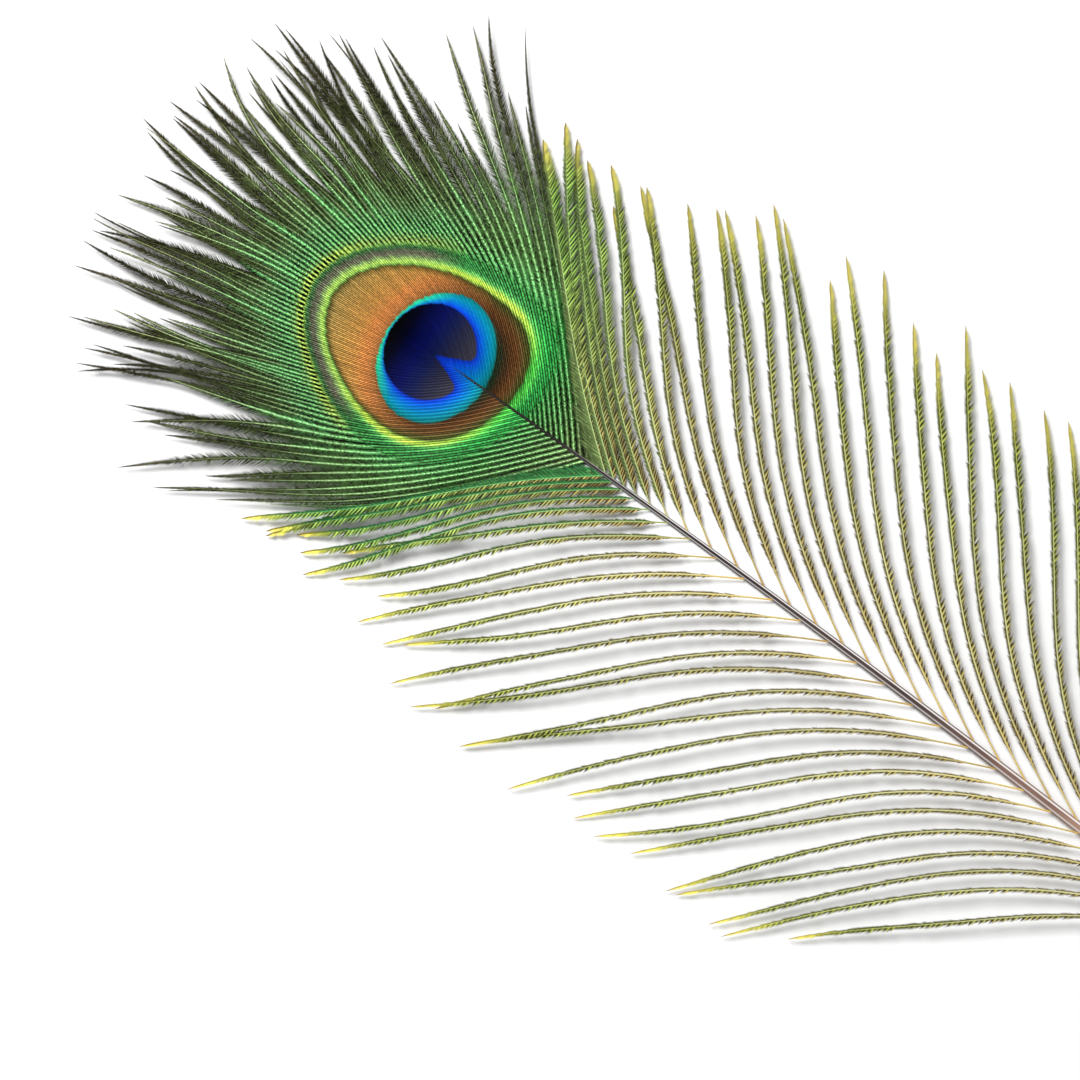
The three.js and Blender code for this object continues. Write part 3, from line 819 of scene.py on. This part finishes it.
fringe_finish, fringe_shader = new_finish("loose_barbule_glint")
fringe_along, fringe_tone = reading(fringe_finish, "along"), reading(fringe_finish, "tone")
fringe_right = span(fringe_finish, reading(fringe_finish, "aside"), -1.0, 1.0)
gold = colour_scale(fringe_finish, fringe_along, {
    0.0: "d0b068", 0.25: "ccbc70", 0.5: "c6be68", 0.72: "b4bc5a", 0.88: "b8c054", 0.94: "e4da54", 0.98: "ecd860",
    1.0: "d09c38",
})
shade = colour_scale(fringe_finish, fringe_along, {
    0.0: "3c2c12", 0.3: "382c12", 0.6: "302c12", 0.84: "323814", 0.94: "6c6a20", 1.0: "6a4c18",
})
near_eye = span(fringe_finish, fringe_along, 0.95, 0.8)
near_eye = product(fringe_finish, reading(fringe_finish, "green"), near_eye)
fresh = product(fringe_finish, near_eye, span(fringe_finish, fringe_along, 0.1, 0.6, 0.1, 0.8))
dull_tip = product(fringe_finish, fringe_right, span(fringe_finish, fringe_along, 0.82, 0.94, 0.0, 0.65))
gold = mixed(fringe_finish, dull_tip, gold, tint(DULL_TIP))
gold = mixed(fringe_finish, fresh, gold, tint("96d05c"))
shade = mixed(fringe_finish, near_eye, shade, tint("18150a"))
shade = mixed(fringe_finish, fresh, shade, tint("0e1e0a"))
# Painted glints: each barbule goes from its dark colour to gold as far as its tone carries a glint.
strokes = mixed(fringe_finish, fringe_tone, shade, gold)
band = mixed(fringe_finish, fringe_right, tint("52aa5c"), tint("94b268"))
band = lit(fringe_finish, band, span(fringe_finish, fringe_tone, 0.02, 0.3, 0.12, 1.25))
band_share = product(fringe_finish, near_eye, reading(fringe_finish, "tipward"))
fringe_grain = noise(fringe_finish, object_place(fringe_finish), 2200.0)
set_inputs(fringe_finish, fringe_shader, {
    "Base Color": mixed(fringe_finish, band_share, strokes, band), "Metallic": 0.25, "Specular IOR Level": 0.2,
    "Roughness": span(fringe_finish, fringe_grain, 0.3, 0.7, 0.3, 0.6),
})

for name, side in SIDES.items():
    line, tone, green = loose_strands[name]
    strands, stations = len(line), int(LOOSE_LENGTH_BASE / LOOSE_BARBULE_PITCH)
    share = np.linspace(0.01, 0.99, stations)
    stroke = np.arange(stations)[:, None] + rng.integers(0, len(BEAT), (strands, 1, 2))
    luck = np.take_along_axis(rng.random((strands, stations, 2)), stroke // len(BEAT), axis=1)
    bare = 1 - green[..., 0]
    taper = np.clip((1 - share) / TIP_TAPER, 0, 1) ** TIP_TAPER_CURVE * np.clip((1 - share) / TIP_END, 0.2, 1)
    taper = taper * eased((share - BARE_ROOT * bare) / (ROOT_TAPER + BARE_ROOT_TAPER * bare))
    quillward = FLANKS == side
    tipward = (~quillward).astype(float)
    to_eye = TO_EYE_REACH * green ** TO_EYE_FIRST * (1 - eased((share - TO_EYE_UNTIL) / TO_EYE_FADE))[:, None]
    tip_reach = TIP_FLANK_REACH * (1 - TIP_FLANK_GREEN * green + to_eye)
    flank_reach = LOOSE_REACH[name] * (1 + LOOSE_REACH_GREEN * green) * np.where(quillward, 1.0, tip_reach)
    # Each blade's reach, glint, lift and turn: by its stroke's luck, and a little by its own.
    reach = flank_reach * taper[..., None] * (0.7 + 0.4 * luck + 0.2 * rng.random(luck.shape))
    # Painted light: the tip flank's glints are dimmed to a fifth, so that flank is painted as the side in shade.
    flank_glint = np.where(quillward, 1.0, TIP_FLANK_GLINT)
    glint = BEAT[stroke % len(BEAT)] * (0.35 + 0.65 * luck) * flank_glint + TIP_FLANK_BASE * tipward
    tip_share = eased((share - TIP_GLINT_FROM) / TIP_GLINT_OVER)[:, None]
    glint = glint + (0.5 + 0.45 * luck - glint) * tip_share
    lift = 0.3 * glint + 0.1 * rng.random(luck.shape) - 0.1 + 0.25 * green * tipward
    turn = LOOSE_BARBULE_TURN * (0.75 + 0.4 * luck + 0.1 * rng.random(luck.shape))
    blades = barbule_blades(line, share, reach, turn, lift, LOOSE_BARBULE_BASE)
    piece = put_mesh("loose_barbules_" + name, blades.reshape(-1, 3), barbule_faces(strands * stations))
    piece.data.shade_flat()
    fading = 1 - BAND_FADE * (tipward * green)[..., None]
    blade_tone = glint[..., None] * (0.75 + 0.25 * tone[..., None]) * fading
    along, row = share[:, None, None], np.arange(strands)[:, None, None, None]
    give_values(
        piece, blades.shape[:4], along=along, tone=blade_tone, green=green[..., None], aside=side,
        tipward=tipward[:, None],
    )
    barbule_map(piece, blades.shape[:4], along, row, strands)
    own(piece, fringe_finish)

# Floor, light and camera
# A plain floor of pale paper under the feather, a broad soft lamp from one side with a weaker one opposite, and
# a camera straight above with a long lens, turned so that the shaft runs from low right to the eye at upper left.
FLOOR_SIZE = 3.0
PICTURE_WIDTH = 216.0
PICTURE_CENTRE = (-17.4, -38.8)
PICTURE_TURN = np.radians(-53.75)
LENS, SENSOR = 100.0, 36.0
SKY_STRENGTH, AIM_SHARE = 0.32, 0.8

corner = FLOOR_SIZE / 2 / MM
floor_points = np.array([[-1, -1, 0], [1, -1, 0], [1, 1, 0], [-1, 1, 0]]) * corner
floor = put_mesh("floor", floor_points, np.array([[0, 1, 2, 3]]))
paper, paper_shader = new_finish("floor_paper")
paper_grain = noise(paper, object_place(paper), 400.0)
set_inputs(paper, paper_shader, {
    "Base Color": (0.9, 0.9, 0.9, 1.0), "Roughness": span(paper, paper_grain, 0.3, 0.7, 0.7, 0.8),
})
floor.data.materials.append(paper)


def soft_lamp(name, place, size, power):
    """A square lamp at this place in metres, turned to the shaft just below the eye."""
    data = bpy.data.lights.new(name, "AREA")
    data.size, data.energy = size, power
    lamp = bpy.data.objects.new(name, data)
    lamp.location = place
    aim = -lamp.location.copy()
    aim.y += NOTCH_Y * MM * AIM_SHARE
    lamp.rotation_euler = aim.to_track_quat("-Z", "Y").to_euler()
    bpy.context.scene.collection.objects.link(lamp)


soft_lamp("key_lamp", (0.3, 0.95, 0.95), 0.5, 19.0)
soft_lamp("fill_lamp", (-0.8, -0.3, 1.0), 1.0, 3.0)
world = bpy.data.worlds.new("studio")
world.use_nodes = True
background = world.node_tree.nodes["Background"]
background.inputs["Color"].default_value = (1.0, 1.0, 1.0, 1.0)
background.inputs["Strength"].default_value = SKY_STRENGTH
bpy.context.scene.world = world
bpy.context.scene.view_settings.view_transform = "Standard"

camera_data = bpy.data.cameras.new("camera")
camera_data.lens, camera_data.sensor_width = LENS, SENSOR
camera = bpy.data.objects.new("camera", camera_data)
aim_x, aim_y = shaft_x(0) + PICTURE_CENTRE[0], NOTCH_Y + PICTURE_CENTRE[1]
camera.location = (aim_x * MM, aim_y * MM, PICTURE_WIDTH * MM * LENS / SENSOR)
camera.rotation_euler = (0.0, 0.0, PICTURE_TURN)
bpy.context.scene.collection.objects.link(camera)
bpy.context.scene.camera = camera
